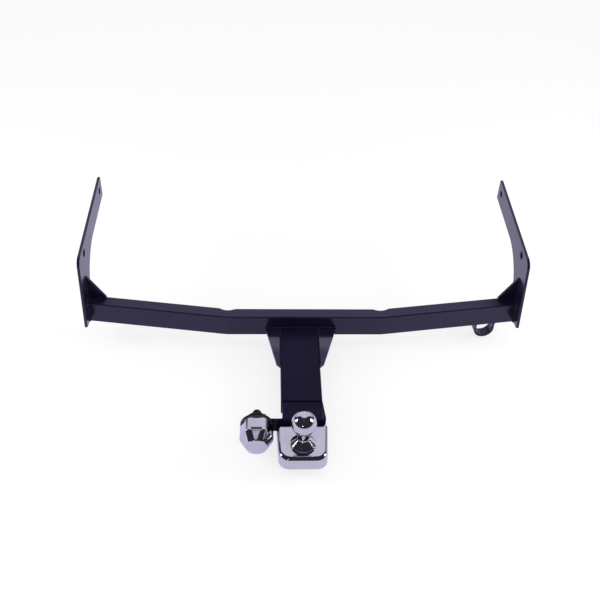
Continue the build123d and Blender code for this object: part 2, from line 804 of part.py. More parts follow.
def write(name, shape):
    """Writes one node, from a solid or from a list of like solids."""
    if isinstance(shape, list):
        shape = Compound(children=shape)
    shape.label = name
    export_step(shape, f"parts/{name}.step")


os.makedirs("parts", exist_ok=True)


write("cross_tube", make_cross_tube())
write("left_arm", make_arm(-1))
write("right_arm", make_arm(1))
write("left_end_gusset", make_end_gusset(-1))
write("right_end_gusset", make_end_gusset(1))
write("neck_sleeve", make_neck_sleeve())
write("neck_box", make_neck_box())
write("left_neck_gusset", make_neck_gusset(-1, left_neck_gusset_width))
write("right_neck_gusset", make_neck_gusset(1, right_neck_gusset_width))
write("socket_bracket", make_bracket())
write("bracket_brace", make_brace())
write("ball_platform", make_platform())
write("platform_cover", make_cover())
write("tow_ball", make_tow_ball())
write("ball_washer", make_ball_washer())
write("ball_lock_washer", make_lock_washer())
write("ball_nut", make_ball_nut())
write("socket_gasket", make_gasket())
write("socket_body", make_socket_body())
write("contact_insert", make_insert())
write("socket_contacts", make_contacts())
write("socket_screws", make_socket_screws())
write("socket_nuts", make_socket_nuts())
write("socket_shell", make_shell())
write("socket_lid", make_lid())
write("lid_liner", make_liner())
write("lid_seal", make_seal())
write("hinge_pin", make_hinge_pin())
write("hinge_spring", make_hinge_spring())
write("cable_boot", make_boot())
write("safety_loop", make_loop())
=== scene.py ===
import bpy
import bmesh
import json
import math
from mathutils import Matrix, Vector


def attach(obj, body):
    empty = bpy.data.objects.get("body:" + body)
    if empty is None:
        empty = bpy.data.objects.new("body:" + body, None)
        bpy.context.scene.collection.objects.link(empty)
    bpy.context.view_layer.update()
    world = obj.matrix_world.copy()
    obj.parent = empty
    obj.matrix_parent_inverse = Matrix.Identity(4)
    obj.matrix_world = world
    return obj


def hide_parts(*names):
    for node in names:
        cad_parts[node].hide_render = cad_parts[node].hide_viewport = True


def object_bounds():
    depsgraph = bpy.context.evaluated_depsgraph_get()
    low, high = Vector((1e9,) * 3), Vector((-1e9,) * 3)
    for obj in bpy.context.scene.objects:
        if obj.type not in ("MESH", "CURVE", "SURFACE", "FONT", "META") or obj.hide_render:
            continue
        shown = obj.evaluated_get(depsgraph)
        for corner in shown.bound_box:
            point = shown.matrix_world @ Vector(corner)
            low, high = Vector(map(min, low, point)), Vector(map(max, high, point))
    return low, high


# Trailer hitch: the ball, its cover, the socket's shell and lid, the boot and the weld seams are modelled
# here. All other pieces stay as the CAD made them and get their finish. Pieces and camera are set in
# millimetres, finishes, lamps and floor in metres. Z is up, and the ball's centre is at 0.

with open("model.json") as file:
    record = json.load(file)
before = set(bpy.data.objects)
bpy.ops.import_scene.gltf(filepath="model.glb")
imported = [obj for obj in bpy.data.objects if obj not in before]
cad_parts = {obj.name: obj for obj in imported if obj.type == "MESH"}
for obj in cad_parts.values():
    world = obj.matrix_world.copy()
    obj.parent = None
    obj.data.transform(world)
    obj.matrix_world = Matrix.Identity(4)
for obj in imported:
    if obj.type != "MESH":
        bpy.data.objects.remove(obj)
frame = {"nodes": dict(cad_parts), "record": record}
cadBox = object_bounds()
nodes = frame["nodes"]
mm = 0.001
near = 1e-6  # metres: corners less apart than this lie in one plane
hair = 0.01  # millimetres: room for rounding beside an edge that is looked for
print("frame loaded:", len(nodes), "nodes")


# Shader maths: a socket that adds its own Math nodes when Python adds or multiplies

class Wire:
    def __init__(self, shade, socket):
        self.shade = shade
        self.socket = socket

    def join(self, operation, other):
        return self.shade.node("ShaderNodeMath", {"operation": operation}, {0: self, 1: other})

    def __add__(self, other):
        return self.join("ADD", other)

    def __mul__(self, other):
        return self.join("MULTIPLY", other)

    __radd__ = __add__
    __rmul__ = __mul__


def opaque(value):
    # a colour written as three shares gets its alpha
    return (*value, 1) if isinstance(value, tuple) and len(value) == 3 else value


class Shade:
    def __init__(self, name="", world=None):
        self.material = world or bpy.data.materials.new(name)
        self.material.use_nodes = True
        self.tree = self.material.node_tree
        self.tree.nodes.clear()

    def put(self, socket, value):
        if isinstance(value, Wire):
            self.tree.links.new(value.socket, socket)
        else:
            socket.default_value = value

    def node(self, kind, settings=None, sockets=None, out=0):
        made = self.tree.nodes.new(kind)
        for key, value in (settings or {}).items():
            setattr(made, key, value)
        for key, value in (sockets or {}).items():
            self.put(made.inputs[key], value)
        return Wire(self, made.outputs[out]) if made.outputs else None

    def place(self, stretch=(1, 1, 1)):
        seat = self.node("ShaderNodeTexCoord", out="Object")
        return self.node("ShaderNodeMapping", {}, {"Vector": seat, "Scale": stretch})

    def noise(self, scale, detail=3, roughness=0.5, stretch=(1, 1, 1)):
        return self.node("ShaderNodeTexNoise", {}, {
            "Vector": self.place(stretch), "Scale": scale, "Detail": detail, "Roughness": roughness})

    def between(self, value, low, high, toLow=0.0, toHigh=1.0):
        return self.node("ShaderNodeMapRange", {"clamp": True}, {
            "Value": value, "From Min": low, "From Max": high, "To Min": toLow, "To Max": toHigh})

    def mix(self, factor, first, second):
        # of the node's many sockets, 6 and 7 are the two colours and 2 is the colour that comes out
        sockets = {0: factor, 6: opaque(first), 7: opaque(second)}
        return self.node("ShaderNodeMix", {"data_type": "RGBA"}, sockets, 2)

    def bump(self, height, strength, distance):
        return self.node("ShaderNodeBump", {}, {
            "Height": height, "Strength": strength, "Distance": distance})

    def finish(self, **sockets):
        values = {key.replace("_", " "): opaque(value) for key, value in sockets.items()}
        surface = self.node("ShaderNodeBsdfPrincipled", {}, values)
        self.node("ShaderNodeOutputMaterial", {}, {0: surface})
        return self.material


# Finishes

# A noise is (scale, detail, roughness), and its scale is about how many of its bumps fit in a metre.
# A range says where in a noise a change starts and ends. A bump is (strength, depth).
paintLook = dict(deep=(0.0115, 0.0088, 0.0290), pale=(0.0165, 0.0128, 0.0390), dust=(0.07, 0.065, 0.10),
                 tint=(0.80, 0.72, 1.0), gloss=0.47, rough=0.16, bump=(0.5, 0.00004))
neckLook = dict(deep=(0.0078, 0.0066, 0.0245), pale=(0.0110, 0.0092, 0.0310), dust=(0.05, 0.045, 0.07),
                tint=(0.88, 0.80, 1.0), gloss=0.08, rough=0.26, bump=(0.5, 0.00005))
paintGrain = dict(cloud=(9, 3, 0.55), grain=(1500, 2, 0.6), peel=(420, 2, 0.45), sag=(38, 2, 0.5),
                  speck=(2600, 1, 0.5), speckRange=(0.735, 0.78), dustRange=(0.45, 0.7),
                  cloudRange=(0.3, 0.75), dustShare=0.4, cloudRough=0.08, grainRough=0.05, dustRough=0.3,
                  peelRise=0.7, sagRise=1.6, grainRise=0.05)
# the gussets' coat rises towards the cross tube: a painted sheen that makes them lighter there
wingSheen = dict(start=0.262, full=0.285, waver=0.03)


def makePaint(name, look, sheenCoat=None):
    shade, g = Shade(name), paintGrain
    cloud, grain, peel, sag = (shade.noise(*g[key]) for key in ("cloud", "grain", "peel", "sag"))
    specks = shade.between(shade.noise(*g["speck"]), *g["speckRange"])
    dusty = shade.between(cloud, *g["dustRange"]) * specks
    colour = shade.mix(shade.between(cloud, *g["cloudRange"]), look["deep"], look["pale"])
    colour = shade.mix(dusty * g["dustShare"], colour, look["dust"])
    rough = shade.between(cloud, *g["cloudRange"], look["rough"], look["rough"] + g["cloudRough"])
    rough = rough + grain * g["grainRough"] + dusty * g["dustRough"]
    height = peel * g["peelRise"] + sag * g["sagRise"] + grain * g["grainRise"]
    coat = 0.0
    if sheenCoat:
        # painted sheen: the clear coat grows towards the cross tube, uneven at its edge, so the gussets look
        # lighter there
        along = shade.node("ShaderNodeSeparateXYZ", {}, {0: shade.place()}, "Y")
        coat = shade.between(along + cloud * sheenCoat["waver"], sheenCoat["start"], sheenCoat["full"])
    return shade.finish(
        Base_Color=colour, Roughness=rough, Normal=shade.bump(height, *look["bump"]),
        Specular_Tint=look["tint"], Specular_IOR_Level=look["gloss"], Coat_Weight=coat)


chromeLook = dict(bright=(0.60, 0.61, 0.62), dull=(0.54, 0.55, 0.56), polish=0.045, haze=0.12,
                  cloud=(24, 4, 0.6), wipe=(700, 3, 0.6, (1, 6, 1)), ripple=(55, 2, 0.4),
                  mark=(900, 2, 0.6), markRange=(0.68, 0.8), colourRange=(0.35, 0.7),
                  hazeRange=(0.3, 0.75), wipeRough=0.03, markRough=0.06, rippleRise=1.0, wipeRise=0.02,
                  bump=(0.35, 0.00006))


def makeChrome():
    shade, c = Shade("brightChrome"), chromeLook
    cloud, wipe, ripple = (shade.noise(*c[key]) for key in ("cloud", "wipe", "ripple"))
    marks = shade.between(shade.noise(*c["mark"]), *c["markRange"])
    colour = shade.mix(shade.between(cloud, *c["colourRange"]), c["bright"], c["dull"])
    rough = shade.between(cloud, *c["hazeRange"], c["polish"], c["haze"])
    rough = rough + wipe * c["wipeRough"] + marks * c["markRough"]
    height = ripple * c["rippleRise"] + wipe * c["wipeRise"]
    return shade.finish(
        Base_Color=colour, Metallic=1.0, Roughness=rough, Normal=shade.bump(height, *c["bump"]))


zincLook = dict(cold=(0.56, 0.57, 0.60), warm=(0.66, 0.63, 0.55), cloud=(130, 4, 0.6),
                spangle=(1100, 2, 0.7), cloudRange=(0.3, 0.7), rough=(0.27, 0.40), spangleRough=0.08,
                bump=(0.25, 0.00005))


def makeZinc():
    shade, z = Shade("zincSteel"), zincLook
    cloud, spangle = (shade.noise(*z[key]) for key in ("cloud", "spangle"))
    colour = shade.mix(shade.between(cloud, *z["cloudRange"]), z["cold"], z["warm"])
    rough = shade.between(cloud, *z["cloudRange"], *z["rough"]) + spangle * z["spangleRough"]
    return shade.finish(
        Base_Color=colour, Metallic=1.0, Roughness=rough, Normal=shade.bump(spangle, *z["bump"]))


plasticLook = dict(deep=(0.014, 0.014, 0.016), pale=(0.026, 0.026, 0.030), cloud=(60, 3, 0.5),
                   grain=(2400, 2, 0.6), rough=0.42, grainRough=0.18, bump=(0.4, 0.00008))


def makePlastic():
    shade, p = Shade("blackPlastic"), plasticLook
    cloud, grain = (shade.noise(*p[key]) for key in ("cloud", "grain"))
    colour = shade.mix(cloud, p["deep"], p["pale"])
    rough = p["rough"] + grain * p["grainRough"]
    return shade.finish(Base_Color=colour, Roughness=rough, Normal=shade.bump(grain, *p["bump"]))


rubberLook = dict(deep=(0.011, 0.011, 0.012), bloomed=(0.032, 0.031, 0.034), cloud=(90, 4, 0.6),
                  grain=(1700, 3, 0.65), bloomRange=(0.5, 0.8), rough=0.62, grainRough=0.2,
                  bump=(0.5, 0.0001))


def makeRubber():
    shade, r = Shade("softRubber"), rubberLook
    cloud, grain = (shade.noise(*r[key]) for key in ("cloud", "grain"))
    colour = shade.mix(shade.between(cloud, *r["bloomRange"]), r["deep"], r["bloomed"])
    rough = r["rough"] + grain * r["grainRough"]
    return shade.finish(Base_Color=colour, Roughness=rough, Normal=shade.bump(grain, *r["bump"]))


brassLook = dict(bright=(0.80, 0.58, 0.24), dull=(0.62, 0.42, 0.18), cloud=(300, 3, 0.6),
                 cloudRange=(0.35, 0.7), rough=0.2, cloudRough=0.15, bump=(0.2, 0.00003))


def makeBrass():
    shade, b = Shade("contactBrass"), brassLook
    cloud = shade.noise(*b["cloud"])
    colour = shade.mix(shade.between(cloud, *b["cloudRange"]), b["bright"], b["dull"])
    rough = b["rough"] + cloud * b["cloudRough"]
    return shade.finish(
        Base_Color=colour, Metallic=1.0, Roughness=rough, Normal=shade.bump(cloud, *b["bump"]))


looks = {
    "black_paint": makePaint("blackPaint", paintLook),
    "bright_chrome": makeChrome(),
    "zinc_steel": makeZinc(),
    "black_plastic": makePlastic(),
    "soft_rubber": makeRubber(),
    "contact_brass": makeBrass(),
}
neckPaint = makePaint("neckPaint", neckLook)
# the gussets' paint carries the painted sheen near the cross tube
gussetPaint = makePaint("gussetPaint", paintLook, wingSheen)
ownPaint = {
    "neck_sleeve": neckPaint,
    "neck_box": neckPaint,
    "socket_bracket": neckPaint,
    "ball_platform": neckPaint,
    "left_neck_gusset": gussetPaint,
    "right_neck_gusset": gussetPaint,
}
slotOf = {part["node"]: part["material_slot"] for part in frame["record"]["subparts"]}
for name, node in nodes.items():
    node.data.materials.clear()
    node.data.materials.append(ownPaint.get(name, looks[slotOf[name]]))
print("finishes made")


# Modelling helpers

def deselectAll():
    bpy.ops.object.select_all(action="DESELECT")


def makeActive(piece):
    deselectAll()
    piece.select_set(True)
    bpy.context.view_layer.objects.active = piece


def edit(piece):
    makeActive(piece)
    bpy.ops.object.mode_set(mode="EDIT")


def leaveEdit():
    bpy.ops.object.mode_set(mode="OBJECT")


def pick(piece, kind, rule):
    # selects the faces, edges or corners that the rule says yes to, in edit mode
    bpy.ops.mesh.select_mode(type=kind)
    bpy.ops.mesh.select_all(action="DESELECT")
    shape = bmesh.from_edit_mesh(piece.data)
    shape.normal_update()
    parts = {"FACE": shape.faces, "EDGE": shape.edges, "VERT": shape.verts}[kind]
    for part in [part for part in parts if rule(part)]:
        part.select_set(True)
    shape.select_flush_mode()
    bmesh.update_edit_mesh(piece.data)


def push(x=0.0, y=0.0, z=0.0):
    bpy.ops.mesh.extrude_region_move(TRANSFORM_OT_translate={"value": (x * mm, y * mm, z * mm)})


def resize(x, y, z, centre):
    bpy.ops.transform.resize(value=(x, y, z), center_override=tuple(c * mm for c in centre))


def applied(piece, kind, **settings):
    makeActive(piece)
    modifier = piece.modifiers.new(kind.lower(), kind)
    for key, value in settings.items():
        setattr(modifier, key, value)
    bpy.ops.object.modifier_apply(modifier=modifier.name)


def tidied(piece, outward=True):
    edit(piece)
    bpy.ops.mesh.select_all(action="SELECT")
    bpy.ops.mesh.remove_doubles(threshold=0.00001)
    if outward:
        bpy.ops.mesh.normals_make_consistent(inside=False)
    leaveEdit()


def settled(piece, matrix=None):
    # puts the piece's place into its mesh
    if matrix is not None:
        piece.matrix_world = matrix
    makeActive(piece)
    bpy.ops.object.transform_apply(location=True, rotation=True, scale=True)


def finished(piece, name, body, slot, stands=(), angle=35):
    piece.name = name
    piece.data.name = name
    makeActive(piece)
    bpy.ops.object.shade_smooth_by_angle(angle=math.radians(angle))
    applied(piece, "WEIGHTED_NORMAL", keep_sharp=True, weight=80)
    piece.data.materials.clear()
    piece.data.materials.append(looks[slot])
    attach(piece, body)
    if stands:
        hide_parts(*stands)
    return piece


def joined(pieces):
    makeActive(pieces[0])
    for piece in pieces[1:]:
        piece.select_set(True)
    bpy.ops.object.join()
    return pieces[0]


def turned(profile, steps=96):
    # a profile of (radius, height) points, drawn corner by corner and spun about Z
    deselectAll()
    bpy.ops.mesh.primitive_plane_add(size=0.0001, location=(profile[0][0] * mm, 0, profile[0][1] * mm))
    piece = bpy.context.object
    settled(piece)
    edit(piece)
    bpy.ops.mesh.select_mode(type="VERT")
    bpy.ops.mesh.select_all(action="SELECT")
    bpy.ops.mesh.merge(type="CENTER")
    for (r0, z0), (r1, z1) in zip(profile, profile[1:]):
        bpy.ops.mesh.extrude_vertices_move(
            TRANSFORM_OT_translate={"value": ((r1 - r0) * mm, 0, (z1 - z0) * mm)})
    bpy.ops.mesh.select_all(action="SELECT")
    bpy.ops.mesh.spin(steps=steps, angle=2 * math.pi, center=(0, 0, 0), axis=(0, 0, 1))
    leaveEdit()
    tidied(piece)
    return piece


def arc(centre, radius, fromAngle, toAngle, steps):
    # points (radius, height) along an arc, angles in degrees from straight out, up positive
    turns = [math.radians(fromAngle + (toAngle - fromAngle) * i / steps) for i in range(steps + 1)]
    return [(centre[0] + radius * math.cos(t), centre[1] + radius * math.sin(t)) for t in turns]


def curve(first, firstHandle, lastHandle, last, steps):
    points = []
    for i in range(steps + 1):
        t = i / steps
        weights = ((1 - t) ** 3, 3 * t * (1 - t) ** 2, 3 * t * t * (1 - t), t ** 3)
        spots = (first, firstHandle, lastHandle, last)
        points.append(tuple(sum(w * p[k] for w, p in zip(weights, spots)) for k in (0, 1)))
    return points


def alongRear(x, y, z):
    # turns a piece made about Z so that its top faces the rear, and moves it to its place
    return Matrix.Translation((x * mm, y * mm, z * mm)) @ Matrix.Rotation(math.radians(90), 4, "X")


def cut(piece, tool, operation="DIFFERENCE"):
    applied(piece, "BOOLEAN", object=tool, operation=operation, solver="EXACT")
    bpy.data.objects.remove(tool)


def roundBar(radius, length, centre, axis, vertices=48):
    turns = {"X": (0, math.pi / 2, 0), "Y": (math.pi / 2, 0, 0), "Z": (0, 0, 0)}
    deselectAll()
    bpy.ops.mesh.primitive_cylinder_add(
        vertices=vertices, radius=radius * mm, depth=length * mm,
        location=tuple(c * mm for c in centre), rotation=turns[axis])
    piece = bpy.context.object
    settled(piece)
    return piece


# Tow ball

ball = dict(radius=25, topFlat=7, topEase=1.2, neckRadius=11.5, neckLength=19.8, footRound=4, baseRadius=25.5,
            band=4.5, bandRound=1.2, seat=-62, seatEase=0.6, shankRadius=11, shankEnd=-100.5, shankEase=1.2,
            topRise=0.35, drill=2.2, drillDeep=1.6, steps=128)


def makeBall():
    # from the flat on top down the sphere, neck and cone foot to the band, the seat and the shank
    b = ball
    topAngle = math.degrees(math.acos((b["topFlat"] + b["topEase"]) / b["radius"]))
    neckAngle = -math.degrees(math.acos(b["neckRadius"] / b["radius"]))
    topZ = b["radius"] * math.sin(math.radians(topAngle))
    neckZ = b["radius"] * math.sin(math.radians(neckAngle))
    flatZ = topZ + b["topRise"]
    profile = [(0, flatZ), (b["topFlat"] - 0.6, flatZ), (b["topFlat"] + 0.3, topZ + 0.2)]
    profile += arc((0, 0), b["radius"], topAngle, neckAngle, 44)
    neckFoot = neckZ - b["neckLength"]
    bandZ = b["seat"] + b["band"]
    rise, reach = neckFoot - bandZ, b["baseRadius"] - b["neckRadius"]
    slant = math.hypot(rise, reach)
    ease, lip = b["footRound"] / slant, b["bandRound"] / slant
    coneTop = (b["neckRadius"] + reach * ease, neckFoot - rise * ease)
    coneFoot = (b["baseRadius"] - reach * lip, bandZ + rise * lip)
    neckCorner, rimCorner = (b["neckRadius"], neckFoot), (b["baseRadius"], bandZ)
    profile += [(b["neckRadius"] + 0.5, neckZ - 0.6), (b["neckRadius"], neckZ - 2)]
    profile += curve((b["neckRadius"], neckFoot + b["footRound"]), neckCorner, neckCorner, coneTop, 10)
    profile += curve(coneFoot, rimCorner, rimCorner, (b["baseRadius"], bandZ - b["bandRound"]), 5)
    profile += [(b["baseRadius"], b["seat"] + b["seatEase"]), (b["baseRadius"] - b["seatEase"], b["seat"]),
                (b["shankRadius"], b["seat"])]
    profile += [(b["shankRadius"], b["shankEnd"] + b["shankEase"]),
                (b["shankRadius"] - b["shankEase"], b["shankEnd"]), (b["drill"], b["shankEnd"]),
                (0, b["shankEnd"] + b["drillDeep"])]
    finished(turned(profile, b["steps"]), "towBall", "hitch", "bright_chrome", ["tow_ball"], 30)


makeBall()
print("tow ball made")


# Cover over the ball platform

cover = dict(backWidth=104.5, length=88.5, behind=50, top=-62, height=30, sideTaper=3, draft=1.5,
             corner=21, topRound=8.5, wall=2.5, rimEase=0.4, shankHole=11.3)


def makeCover():
    # a plate with round corners, drawn down with a draft, opened below and ahead and given its wall
    c = cover
    slope = math.tan(math.radians(c["sideTaper"]))
    frontWidth = c["backWidth"] - 2 * c["length"] * slope
    frontY = c["behind"] - c["length"]
    middleY = (c["behind"] + frontY) / 2
    deselectAll()
    bpy.ops.mesh.primitive_plane_add(size=mm, location=(0, middleY * mm, c["top"] * mm))
    piece = bpy.context.object
    settled(piece)
    edit(piece)
    bpy.ops.mesh.select_all(action="SELECT")
    resize(c["backWidth"], c["length"], 1, (0, middleY, c["top"]))
    pick(piece, "VERT", lambda v: v.co.y < middleY * mm)
    resize(frontWidth / c["backWidth"], 1, 1, (0, frontY, c["top"]))
    bpy.ops.mesh.bevel(offset=c["corner"] * mm, segments=16, affect="VERTICES")
    bpy.ops.mesh.select_all(action="SELECT")
    push(z=-c["height"])
    spread = c["height"] * math.tan(math.radians(c["draft"]))
    resize(1 + 2 * spread / c["backWidth"], 1 + spread / c["length"], 1,
           (0, c["behind"], c["top"] - c["height"]))
    topZ = c["top"] * mm
    pick(piece, "EDGE", lambda e: all(abs(v.co.z - topZ) < near for v in e.verts)
         and sum(v.co.y for v in e.verts) / 2 < (c["behind"] - hair) * mm)
    bpy.ops.mesh.bevel(offset=c["topRound"] * mm, segments=8, affect="EDGES", clamp_overlap=True)
    bpy.ops.mesh.select_all(action="SELECT")
    bpy.ops.mesh.normals_make_consistent(inside=False)
    pick(piece, "FACE", lambda f: f.normal.z < -0.99 or f.normal.y > 0.99)
    bpy.ops.mesh.delete(type="FACE")
    leaveEdit()
    applied(piece, "SOLIDIFY", thickness=c["wall"] * mm, offset=-1, use_even_offset=True)
    applied(piece, "BEVEL", width=c["rimEase"] * mm, segments=2, limit_method="ANGLE",
            angle_limit=math.radians(50))
    cut(piece, roundBar(c["shankHole"], 4 * c["wall"], (0, 0, c["top"]), "Z"))
    finished(piece, "platformCover", "hitch", "bright_chrome", ["platform_cover"], 30)


makeCover()
print("cover made")


# Bright shell and lid of the socket. Both are made about Z, the shell with its mouth up and the lid with its
# nose up, then turned to the rear.

socket = dict(x=-93, z=-69, shellRear=48.5, shellLength=30, cornerRadius=37, wall=2, edgeRound=9,
              rimEase=0.6, web=1.5, barrelHole=25.8)
hinge = dict(y=19.5, z=-36.157, knuckle=4.2, knuckleHalf=7.5, earInner=7.9, earOuter=12.4, room=4.8,
             earPlay=0.4, pin=1.8, pinPlay=0.05, domed=2.4)
lid = dict(back=18.1, length=21, noseRadius=24.5, wall=2.2, noseRound=3, edgeRound=9, rimEase=0.3,
           knuckleEase=0.4)
hexFlat = math.cos(math.pi / 6)


def hexBlock(radius, depth):
    deselectAll()
    bpy.ops.mesh.primitive_cylinder_add(
        vertices=6, radius=radius * mm, depth=depth * mm, location=(0, 0, depth / 2 * mm),
        rotation=(0, 0, math.radians(90)))
    piece = bpy.context.object
    settled(piece)
    return piece


def hingeBar(radius, fromX, toX, domed=0.0, domedEnds=(False, False)):
    piece = roundBar(radius, toX - fromX, (socket["x"] + (fromX + toX) / 2, hinge["y"], hinge["z"]), "X", 40)
    if domed:
        ends = [x for x, want in zip((fromX, toX), domedEnds) if want]
        edit(piece)
        pick(piece, "EDGE", lambda e: any(
            all(abs(v.co.x - (socket["x"] + x) * mm) < near for v in e.verts) for x in ends))
        bpy.ops.mesh.bevel(offset=domed * mm, segments=5, affect="EDGES")
        leaveEdit()
    return piece


def makeShell():
    # a six-sided cup with the barrel's hole in its web and the hinge's two ears on top
    s = socket
    piece = hexBlock(s["cornerRadius"], s["shellLength"])
    edit(piece)
    pick(piece, "EDGE", lambda e: abs(e.verts[0].co.z - e.verts[1].co.z) > mm)
    bpy.ops.mesh.bevel(offset=s["edgeRound"] * mm, segments=5, affect="EDGES")
    pick(piece, "FACE", lambda f: f.normal.z > 0.99)
    bpy.ops.mesh.inset(thickness=s["wall"] * mm)
    push(z=-(s["shellLength"] - s["web"]))
    pick(piece, "EDGE", lambda e: all(v.co.z > (s["shellLength"] - hair) * mm for v in e.verts))
    bpy.ops.mesh.bevel(offset=s["rimEase"] * mm, segments=2, affect="EDGES")
    leaveEdit()
    settled(piece, alongRear(s["x"], s["shellRear"], s["z"]))
    cut(piece, roundBar(s["barrelHole"], 4 * s["wall"], (s["x"], s["shellRear"], s["z"]), "Y", 64))
    cut(piece, hingeBar(hinge["room"], -hinge["earInner"], hinge["earInner"]))
    ears = [hingeBar(hinge["knuckle"], hinge["earInner"], hinge["earOuter"], hinge["domed"], (False, True)),
            hingeBar(hinge["knuckle"], -hinge["earOuter"], -hinge["earInner"], hinge["domed"], (True, False))]
    for ear in ears:
        cut(piece, ear, "UNION")
    tidied(piece, False)
    finished(piece, "socketShell", "hitch", "bright_chrome", ["socket_shell"], 32)


def makeLid():
    # a hollow six-sided nose that narrows to the rear, with the hinge's knuckle between the ears
    piece = hexBlock(socket["cornerRadius"], lid["length"])
    nose = lid["length"] * mm
    edit(piece)
    pick(piece, "FACE", lambda f: f.normal.z > 0.99)
    ratio = lid["noseRadius"] / socket["cornerRadius"]
    resize(ratio, ratio, 1, (0, 0, lid["length"]))
    pick(piece, "EDGE", lambda e: abs(e.verts[0].co.z - e.verts[1].co.z) > mm)
    bpy.ops.mesh.bevel(offset=lid["edgeRound"] * mm, segments=5, affect="EDGES")
    pick(piece, "EDGE", lambda e: all(abs(v.co.z - nose) < near for v in e.verts))
    bpy.ops.mesh.bevel(offset=lid["noseRound"] * mm, segments=5, affect="EDGES")
    pick(piece, "FACE", lambda f: f.normal.z < -0.99)
    bpy.ops.mesh.inset(thickness=lid["wall"] * mm)
    push(z=lid["length"] - lid["wall"])
    inner = (lid["noseRadius"] - lid["wall"] / hexFlat) / (socket["cornerRadius"] - lid["wall"] / hexFlat)
    resize(inner, inner, 1, (0, 0, lid["length"] - lid["wall"]))
    pick(piece, "EDGE", lambda e: all(v.co.z < hair * mm for v in e.verts))
    bpy.ops.mesh.bevel(offset=lid["rimEase"] * mm, segments=2, affect="EDGES")
    leaveEdit()
    settled(piece, alongRear(socket["x"], lid["back"], socket["z"]))
    half, earRoom = hinge["knuckleHalf"], hinge["earOuter"] + hinge["earPlay"]
    cut(piece, hingeBar(hinge["room"], half, earRoom))
    cut(piece, hingeBar(hinge["room"], -earRoom, -half))
    cut(piece, hingeBar(hinge["knuckle"], -half, half, lid["knuckleEase"], (True, True)), "UNION")
    cut(piece, hingeBar(hinge["pin"] + hinge["pinPlay"], -half - 1, half + 1))
    tidied(piece, False)
    finished(piece, "socketLid", "lid", "bright_chrome", ["socket_lid"], 32)


makeShell()
makeLid()
print("socket shell and lid made")


# Weld seams: rows of overlapping beads along the corners where the steel pieces meet

tube = dict(right=12.5, rear=329.4, depth=30.5, top=-17, bottom=-70.5, bend=178.5, sweep=46.6, half=497.25)
tubeTurn = math.atan2(tube["sweep"], tube["half"] - tube["bend"])
weld = dict(flat=0.55, step=2.3, swell=0.10, swellBeat=2.4, slowBeat=0.7, stray=0.35, strayBeat=1.7)
endWeld = dict(plate=6, toe=42, rise=54, rearBead=3.0, bead=2.4)


def beadRow(points, radius):
    # copies of one bead along a path, each turned to the path and strayed a little by its own number
    w = weld
    deselectAll()
    bpy.ops.mesh.primitive_uv_sphere_add(segments=10, ring_count=6, radius=mm)
    unit = bpy.context.object
    unit.data.shade_smooth()
    beads = []
    for first, last in zip(points, points[1:]):
        start, stop = Vector(first), Vector(last)
        span = stop - start
        count = max(2, round(span.length / w["step"]))
        lie = span.to_track_quat("X", "Z").to_matrix().to_4x4()
        for i in range(count + 1):
            number = len(beads) + 1
            wave = math.sin(number * w["swellBeat"]) * math.cos(number * w["slowBeat"])
            size = radius * (1 + w["swell"] * wave)
            stray = Vector((0, 0, w["stray"] * math.sin(number * w["strayBeat"])))
            spot = start + span * (i / count) + stray
            bead = unit.copy()
            bead.data = unit.data.copy()
            bpy.context.scene.collection.objects.link(bead)
            bead.matrix_world = (Matrix.Translation(spot * mm) @ lie
                                 @ Matrix.Diagonal((size * w["flat"], size, size, 1)))
            beads.append(bead)
    bpy.data.objects.remove(unit)
    return beads


def weldGroup(name, rows, finish=None):
    beads = [bead for row in rows for bead in beadRow(*row)]
    bpy.context.view_layer.update()
    piece = joined(beads)
    settled(piece)
    piece.name = name
    piece.data.name = name
    piece.data.materials.clear()
    piece.data.materials.append(finish or looks["black_paint"])
    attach(piece, "hitch")


def endWelds(side):
    # the tube's end and the upright gusset against the arm, and the gusset on the tube
    t, w = tube, endWeld
    wall = t["right"] + side * t["half"]
    rearY = t["rear"] + t["sweep"]
    frontY = rearY + t["depth"] / math.cos(tubeTurn)
    plateY = frontY - w["plate"] / math.cos(tubeTurn)
    toe = wall - side * w["toe"]
    toeY = plateY - w["toe"] * math.tan(tubeTurn)
    return [([(wall, rearY, t["bottom"] + 1), (wall, rearY, t["top"] - 2)], w["rearBead"]),
            ([(wall, rearY + 1, t["top"]), (wall, plateY - 1, t["top"])], w["bead"]),
            ([(wall, rearY + 1, t["bottom"]), (wall, frontY - 1, t["bottom"])], w["bead"]),
            ([(wall, plateY, t["top"] + 2), (wall, plateY, t["top"] + w["rise"])], w["bead"]),
            ([(wall, plateY, t["top"]), (toe, toeY, t["top"])], w["bead"])]


neckWeld = dict(half=43.25, top=-47.8, wingTop=-48.5, wingBottom=-56.5, leftWing=34, rightWing=42,
                wingLength=123.3, sleeveEnd=105, boxHalf=40.55, boxTop=-50.5, boxBottom=-86.1,
                bracketFront=58, braceReach=47.15, tubeBead=2.4, wingBead=1.8, sleeveBead=2.6,
                bracketBead=2.4, braceBead=1.6, wedgeBead=2.2)


def neckWelds():
    # the sleeve and its two wings against the cross tube, and the wings along the sleeve
    n, y = neckWeld, tube["rear"]
    rows = [([(-n["half"] + 2, y, n["top"]), (n["half"] - 2, y, n["top"])], n["tubeBead"])]
    for side, wing in ((-1, n["leftWing"]), (1, n["rightWing"])):
        root = side * n["half"]
        tip = root + side * (wing - 1)
        rows.append(([(root, y, n["wingTop"]), (tip, y, n["wingTop"])], n["tubeBead"]))
        for z in (n["wingTop"], n["wingBottom"]):
            rows.append(([(root, y - n["wingLength"] + 3, z), (root, y - 3, z)], n["wingBead"]))
    return rows


